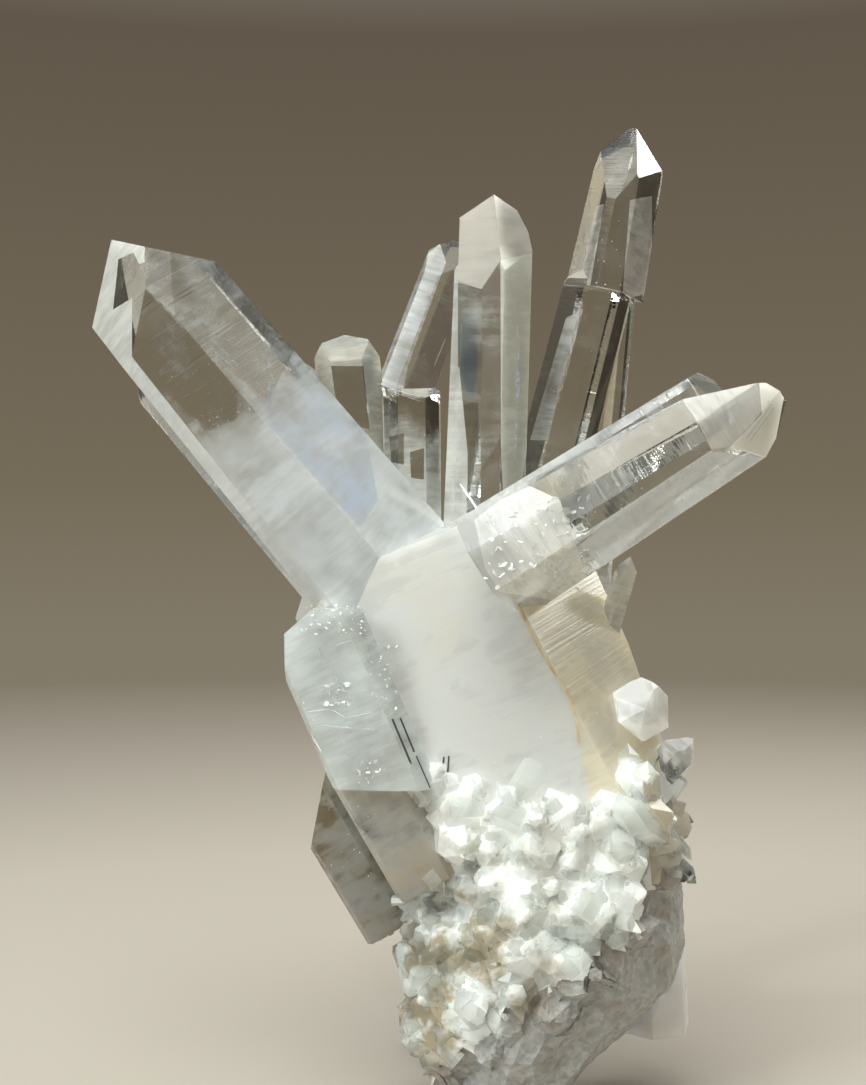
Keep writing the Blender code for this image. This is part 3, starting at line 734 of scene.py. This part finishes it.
# Radii, lengths above the crust, the foot's depth and the lowest place are in millimetres. "stray" is
# how far a crystal turns from the crust's own direction, and "sink", "tip" and "flat" are in radii.
drusePlan = {
    "seed": 7, "perBatch": 50, "foot": 1.3, "sink": 0.9, "lowest": 4.0, "taper": 0.93, "tip": (0.6, 1.15),
    "flat": (0.6, 1.0), "sizes": (
        {"count": 64, "radius": (1.8, 3.4), "long": (0.8, 2.8), "stray": 0.6},
        {"count": 460, "radius": (0.9, 1.9), "long": (0.3, 1.8), "stray": 0.9},
        {"count": 700, "radius": (0.35, 0.9), "long": (0.3, 1.2), "stray": 1.0})}


def addCrystal(shape, foot, aim, radius, length, tip, roll, flat):
    # a six-sided prism with a pyramid, standing on its foot, "flat" times as deep as it is wide
    prism = bmesh.ops.create_cone(
        shape, cap_ends=True, segments=6, radius1=radius, radius2=radius * drusePlan["taper"], depth=length,
        matrix=turned(foot + aim * length / 2, aim, roll) @ Matrix.Diagonal((1.0, flat, 1.0, 1.0)))
    top = max({face for vert in prism["verts"] for face in vert.link_faces if len(face.verts) == 6},
              key=lambda face: face.calc_center_median().dot(aim))
    bmesh.ops.poke(shape, faces=[top], offset=radius * tip)


def makeDruse():
    chance = random.Random(drusePlan["seed"])
    owners = skinMesh.attributes["owner"].data
    faces = [p for p in skinMesh.polygons
             if owners[p.index].value == druseIndex and p.center.z > drusePlan["lowest"] * mm]
    areas = [p.area for p in faces]
    whole, batch = bmesh.new(), bmesh.new()
    low, high = cadBox

    def emptyBatch():
        part = bpy.data.meshes.new("batch")
        batch.to_mesh(part)
        batch.clear()
        whole.from_mesh(part)
        bpy.data.meshes.remove(part)

    for size in drusePlan["sizes"]:
        for step, face in enumerate(chance.choices(faces, weights=areas, k=size["count"])):
            radius = chance.uniform(*size["radius"]) * mm
            length = chance.uniform(*size["long"]) * mm
            stray = Vector([chance.gauss(0, 1) for _ in range(3)]) * size["stray"]
            aim = (face.normal + stray).normalized()
            if aim.dot(face.normal) < 0.2:  # nearly flat on the crust, so it is raised
                aim = (aim + face.normal * 0.7).normalized()
            sunk = radius * drusePlan["sink"]
            foot = face.center - aim * (drusePlan["foot"] * mm + sunk)
            length += sunk
            end = foot + aim * (length + radius)
            if not all(low[i] + radius < end[i] < high[i] - radius for i in range(3)) or end.z < radius:
                continue
            addCrystal(batch, foot, aim, radius, length, chance.uniform(*drusePlan["tip"]),
                       chance.uniform(0, 1), chance.uniform(*drusePlan["flat"]))
            if step % drusePlan["perBatch"] == drusePlan["perBatch"] - 1:
                emptyBatch()
        emptyBatch()
    batch.free()
    return finished("druseCrystals", whole, dressed("small druse crystals", smallQuartz))


def opaque(colour, rough):
    return lambda tree: node(tree, "BsdfPrincipled", Base_Color=linear(colour), Roughness=rough)


# Painted glints: thin white flakes inside the crystal, at its cracks, whose plain white stands in for the
# light that the cracks mirror.
glintFlake = dressed("crack with painted glint", opaque("f6f8f8", 0.2))
# Dark growth gaps: slits in the crystal's side that no light comes back from.
slit = dressed("dark growth gap", opaque("4a4a49", 0.25))
# A dark blue-grey film with a dull sheen, used for the growth lines and for the centre crystal's lens, where
# it is a painted reflection.
slate = dressed("dark slate film", opaque("6d757c", 0.4))

# Inner veils: sheets of tiny bubbles, patchy and mostly see-through, in patches of this many millimetres.
veilLook = {"colour": "dfe6f2", "milkAndReflectionPatches": 2.38}


def bubbleVeil(tree):
    where = node(tree, "TexCoord").outputs["Object"]
    thick = patchy(tree, where, veilLook["milkAndReflectionPatches"], (3, 0.65), (0.42, 0.68), 0.6)
    gap = node(tree, "BsdfTransparent")
    return node(tree, "MixShader", _0=thick, _1=gap, _2=opaque(veilLook["colour"], 0.4)(tree))


# Iron ochre: a dull yellow-brown film that seeped along the edge of the trunk, in patches of this size.
ochreLook = {"dark": "bfa36c", "pale": "d6c8a6", "milkAndReflectionPatches": 3.333}


def ironOchre(tree):
    where = node(tree, "TexCoord").outputs["Object"]
    share = patchy(tree, where, ochreLook["milkAndReflectionPatches"], (4, 0.5), (0.35, 0.65))
    colour = node(
        tree, "Mix", data_type="RGBA", _6=linear(ochreLook["dark"]), _7=linear(ochreLook["pale"]),
        _0=share)
    return node(tree, "BsdfPrincipled", Roughness=0.45, Base_Color=colour.outputs[2])


def drawnOut(start, end, wide, under, flat):
    # the place of a ball of this width that is drawn out between two pixels and made this flat
    a, b = spot(*start, under), spot(*end, under)
    if a and b:
        return turned((a + b) / 2, b - a) @ Matrix.Diagonal((1.0, flat, (b - a).length / (wide * mm), 1.0))
    return None


# Painted sparkles, white flakes that stand in for small glints: the box of the photograph they lie in, how
# many, their width and how deep, in millimetres.
paintedSparkles = (
    ((300, 604, 368, 634), 70, (0.3, 0.9), (-0.12, 0.05)),
    ((368, 640, 398, 712), 46, (0.3, 1.0), (-0.12, 0.05)),
    ((322, 682, 350, 706), 30, (0.4, 1.4), (-0.12, 0.05)),
    ((356, 756, 380, 784), 18, (0.4, 1.2), (-0.12, 0.05)),
    ((300, 620, 400, 780), 46, (0.2, 0.6), (-0.08, 0.05)),
    ((320, 800, 375, 900), 26, (0.2, 0.6), (-0.08, 0.05)),
    ((196, 405, 250, 455), 40, (0.2, 0.6), (0.5, 6.0)),
    ((150, 360, 215, 420), 14, (0.2, 0.5), (0.5, 6.0)),
    ((486, 500, 585, 592), 90, (0.4, 1.5), (-0.12, 0.1)),
    ((490, 495, 590, 590), 46, (1.0, 3.4), (0.1, 1.2)),
    ((575, 470, 700, 550), 24, (0.2, 0.6), (0.5, 6.0)),
    ((580, 200, 650, 420), 26, (0.2, 0.6), (0.5, 6.0)),
    ((390, 330, 450, 500), 26, (0.2, 0.6), (0.5, 4.0)),
    ((440, 690, 620, 780), 30, (0.2, 0.5), (-0.05, 0.2)),
)

# Single bright cracks, white flakes that are painted glints: their ends in pixels, width and depth in
# millimetres.
cracks = (
    ((300, 361), (318, 376), 1.6, 0.8), ((433, 366), (445, 337), 0.7, 1.5),
    ((389, 391), (421, 402), 0.4, 1.5), ((459, 482), (480, 513), 0.6, 1.5),
    ((629, 171), (633, 156), 0.6, 0.8), ((616, 300), (640, 280), 1.1, 3.0),
    ((306, 712), (331, 709), 0.5, 0.0), ((331, 709), (346, 718), 0.5, 0.0),
    ((346, 718), (374, 712), 0.4, 0.0), ((336, 645), (352, 640), 0.4, 0.0),
    ((312, 735), (322, 752), 0.7, 0.0), ((213, 352), (236, 372), 0.9, 1.2),
    ((222, 368), (256, 398), 0.7, 1.6), ((496, 552), (520, 546), 1.6, 1.2),
    ((540, 566), (566, 560), 1.2, 1.4), ((618, 284), (634, 306), 0.7, 2.5),
    ((640, 470), (665, 455), 0.5, 2.0),
)
flakeSettings = {"seed": 3, "crackFlat": 0.25, "sparkleFlat": 0.12, "sparkleWide": (0.4, 1.0)}


# white flakes at the cracks and glints: painted glints
def makeGlintFlakes():
    chance = random.Random(flakeSettings["seed"])
    shape = bmesh.new()
    for start, end, wide, under in cracks:
        place = drawnOut(start, end, wide, under, flakeSettings["crackFlat"])
        if place:
            bmesh.ops.create_icosphere(shape, subdivisions=2, radius=wide * mm / 2, matrix=place)
    for (left, top, right, bottom), count, wide, under in paintedSparkles:
        for _ in range(count):
            px, py = chance.uniform(left, right), chance.uniform(top, bottom)
            where = spot(px, py, chance.uniform(*under))
            if where is None:
                continue
            radius = chance.uniform(*wide) * mm / 2
            aim = Vector([chance.gauss(0, 1) for _ in range(3)]).normalized()
            stretch = Matrix.Diagonal((
                1.0, chance.uniform(*flakeSettings["sparkleWide"]), flakeSettings["sparkleFlat"], 1.0))
            bmesh.ops.create_icosphere(
                shape, subdivisions=1, radius=radius, matrix=turned(where, aim) @ stretch)
    return finished("paintedGlintFlakes", shape, glintFlake)


# Faint whitish veils inside the crystals, the same way, and how thick they are as a share of their width.
veils = (
    ((160, 370), (181, 354), 2.2, 1.5), ((166, 384), (196, 363), 2.6, 2.5),
    ((178, 401), (208, 384), 2.2, 2.0), ((213, 345), (262, 392), 5.0, 2.5),
    ((205, 330), (240, 350), 3.0, 2.0), ((255, 395), (345, 520), 4.0, 2.0),
    ((268, 345), (262, 470), 1.6, 1.5), ((236, 452), (262, 452), 1.4, 1.5),
    ((300, 470), (312, 560), 3.0, 2.5), ((420, 262), (392, 380), 3.0, 1.2),
    ((455, 300), (457, 500), 1.4, 0.8), ((515, 290), (512, 470), 2.4, 1.2),
    ((650, 470), (600, 505), 3.5, 1.5), ((690, 400), (600, 452), 3.0, 1.2),
    ((318, 645), (352, 702), 8.0, 0.8), ((306, 722), (384, 730), 5.0, 0.8),
    ((336, 748), (374, 792), 7.0, 0.8), ((500, 520), (560, 580), 7.0, 1.0),
    ((640, 210), (630, 280), 2.0, 1.5),
)
veilFlat = 0.06


def makeVeils():
    shape = bmesh.new()
    for start, end, wide, under in veils:
        place = drawnOut(start, end, wide, under, veilFlat)
        if place:
            bmesh.ops.create_uvsphere(
                shape, u_segments=20, v_segments=14, radius=wide * mm / 2, matrix=place)
    return finished("innerVeils", shape, dressed("veil of bubbles", bubbleVeil))


def makeRods(name, material, rods, under, sides, longest=math.inf):
    # thin rods "under" millimetres behind the skin, each from pixel to pixel with its radius
    shape = bmesh.new()
    for start, end, radius in rods:
        a, b = spot(*start, under), spot(*end, under)
        if a and b and (b - a).length < longest * mm:
            bmesh.ops.create_cone(
                shape, cap_ends=True, segments=sides, radius1=radius * mm, radius2=radius * mm,
                depth=(b - a).length, matrix=turned((a + b) / 2, b - a))
    return finished(name, shape, material)


# Dark slits: their ends in the photograph's pixels and their radius in millimetres.
slits = (
    ((392, 719), (410, 762), 0.26), ((400, 718), (414, 752), 0.22), ((410, 762), (428, 800), 0.20),
    ((416, 756), (430, 788), 0.17), ((444, 757), (441, 782), 0.18), ((449, 756), (447, 781), 0.18),
    ((627, 806), (659, 757), 0.16),
)

# Growth lines on the steeper faces: the first and the last line's ends in pixels, and how many there are.
growthLines = (
    ((143, 268), (158, 248), (156, 292), (170, 266), 8), ((134, 302), (147, 291), (137, 314), (154, 299), 4),
    ((732, 428), (762, 390), (750, 441), (774, 408), 6), ((604, 203), (652, 200), (602, 212), (651, 209), 4),
    ((604, 150), (611, 146), (603, 166), (609, 163), 4), ((644, 380), (662, 398), (664, 371), (684, 388), 5),
    ((150, 340), (178, 322), (176, 372), (206, 352), 4), ((590, 176), (600, 174), (588, 182), (598, 180), 2),
)
growthRadius = 0.055
longestLine = 12.0  # in millimetres: a longer one has jumped from one crystal to another


def growthRods():
    for a, b, c, d, count in growthLines:
        for step in range(count):
            share = step / (count - 1)
            start, end = (
                [low + (high - low) * share for low, high in zip(p, q)] for p, q in ((a, c), (b, d)))
            yield start, end, growthRadius


# The dark lens in the centre crystal, a dark film that stands in for a dark reflection there, so a painted
# reflection: its middle in pixels, and its half width, depth and height in millimetres.
lens = {"at": (471, 354), "under": 2.2, "half": (2.1, 0.5, 9.0), "lean": 0.5}


def makeLens():
    shape = bmesh.new()
    size = Matrix.Diagonal((*(value * mm for value in lens["half"]), 1.0))
    leaning = Matrix.Rotation(math.radians(lens["lean"]), 4, "Y")
    bmesh.ops.create_uvsphere(
        shape, u_segments=20, v_segments=14, radius=1.0,
        matrix=Matrix.Translation(spot(*lens["at"], lens["under"])) @ leaning @ size)
    return finished("darkReflectionLens", shape, slate)


# The ochre seam along the trunk's edge: its corners in pixels and its radius in millimetres.
seamRadius = 0.34
seamCorners = (
    (519, 604), (525, 620), (532, 636), (545, 659), (558, 679), (570, 699), (577, 722), (579, 743))

makeDruse()
makeGlintFlakes()
makeVeils()
makeRods("darkGaps", slit, slits, 0.05, 6)
makeLens()
makeRods("growthLines", slate, growthRods(), 0.02, 4, longestLine)
makeRods("ochreSeam", dressed("iron ochre", ironOchre), [
    (start, end, seamRadius) for start, end in zip(seamCorners, seamCorners[1:])], 0.25, 8)
print("details done")

# The studio: a pale floor that fades into the ground, in metres.
floorSettings = {"radius": 1.1, "segments": 64, "colour": "b5aea2", "fadeFrom": 0.25, "fadeTo": 0.95}


def fadingFloor(tree):
    here = node(tree, "TexCoord").outputs["Object"]
    away = node(tree, "VectorMath", operation="LENGTH", _0=here).outputs["Value"]
    fade = node(
        tree, "MapRange", From_Min=floorSettings["fadeFrom"], From_Max=floorSettings["fadeTo"], Value=away)
    gap = node(tree, "BsdfTransparent")
    return node(tree, "MixShader", _0=fade, _1=opaque(floorSettings["colour"], 0.7)(tree), _2=gap)


def makeFloor():
    disc = bmesh.new()
    bmesh.ops.create_circle(
        disc, cap_ends=True, segments=floorSettings["segments"], radius=floorSettings["radius"])
    mesh = bpy.data.meshes.new("floor")
    disc.to_mesh(mesh)
    disc.free()
    mesh.materials.append(dressed("pale studio floor", fadingFloor))
    floor = bpy.data.objects.new("floor", mesh)
    scene.collection.objects.link(floor)


# The studio's ground, from straight down at 0 to straight up at 1.
groundStops = ((0.0, "8b867a"), (0.47, "827a69"), (0.52, "756b59"), (0.66, "61574a"), (0.74, "a09d94"),
               (0.86, "ffffff"))
# Strip boxes to the left and right, which the crystals' slanting faces pick up, as shares of the
# sideways direction and of the brightness. The curve's two ends come first.
stripBoxes = ((0.0, 0.33), (1.0, 0.12), (0.50, 0.33), (0.62, 0.10), (0.78, 0.10), (0.84, 0.95), (0.93, 0.95),
              (0.97, 0.12))
stripStrength = 3.0


def makeWorld():
    world = bpy.data.worlds.new("studio")
    world.use_nodes = True
    tree = world.node_tree
    tree.nodes.clear()
    towards = node(tree, "TexCoord").outputs["Generated"]
    parts = node(tree, "SeparateXYZ", Vector=towards).outputs
    up = node(tree, "MapRange", From_Min=-1.0, Value=parts["Z"])
    ramp = node(tree, "ValToRGB", Fac=up)
    elements = ramp.color_ramp.elements
    while len(elements) < len(groundStops):
        elements.new(0.5)
    for element, (position, code) in zip(elements, groundStops):
        element.position, element.color = position, linear(code)
    aside = node(tree, "Math", operation="ABSOLUTE", _0=parts["X"])
    strips = node(tree, "FloatCurve", Value=aside)
    curve = strips.mapping.curves[0]
    for point, (x, y) in zip(curve.points, stripBoxes):
        point.location = (x, y)
    for x, y in stripBoxes[2:]:
        curve.points.new(x, y)
    strips.mapping.update()
    seen = node(tree, "LightPath").outputs["Is Camera Ray"]
    boxes = node(tree, "Math", operation="MULTIPLY", _1=stripStrength, _0=strips)
    strength = node(tree, "Mix", _3=1.0, _0=seen, _2=boxes)
    sky = node(tree, "Background", Color=ramp, Strength=strength)
    node(tree, "OutputWorld", Surface=sky)
    scene.world = world


# Lamps: where they hang and how wide they are, in metres, then their watts and colour.
lamps = {
    "overhead": ((-0.12, -0.26, 0.71), 0.34, 2.5, "f8fbf4"),
    "frontLeft": ((-0.5, -0.55, 0.45), 0.30, 3.2, "f2f8fa"),
    "behindRight": ((0.45, 0.4, 0.5), 0.30, 1.5, "f8f8ee"),
    "glint": ((-0.25, -0.35, 0.7), 0.04, 0.5, "ffffff"),
}
lampAim = Vector((0, 0, 0.11))


def makeLamps():
    for name, (at, size, watts, colour) in lamps.items():
        light = bpy.data.lights.new(name, "AREA")
        light.shape, light.size, light.energy, light.color = "DISK", size, watts, linear(colour)[:3]
        lamp = bpy.data.objects.new(name, light)
        lamp.location = at
        lamp.rotation_euler = (lampAim - lamp.location).to_track_quat("-Z", "Y").to_euler()
        lamp.visible_camera = False
        scene.collection.objects.link(lamp)


def makeCamera():
    view = bpy.data.cameras.new("camera")
    view.sensor_fit = "AUTO"
    view.sensor_width = 36.0
    view.lens = focal / cameraSettings["high"] * view.sensor_width
    view.clip_start = 0.01
    camera = bpy.data.objects.new("camera", view)
    camera.location = cameraPlace * mm
    camera.rotation_euler = (math.pi / 2, 0, 0)
    scene.collection.objects.link(camera)
    scene.camera = camera


makeFloor()
makeWorld()
makeLamps()
makeCamera()
scene.view_settings.view_transform = "Standard"
print("studio done")
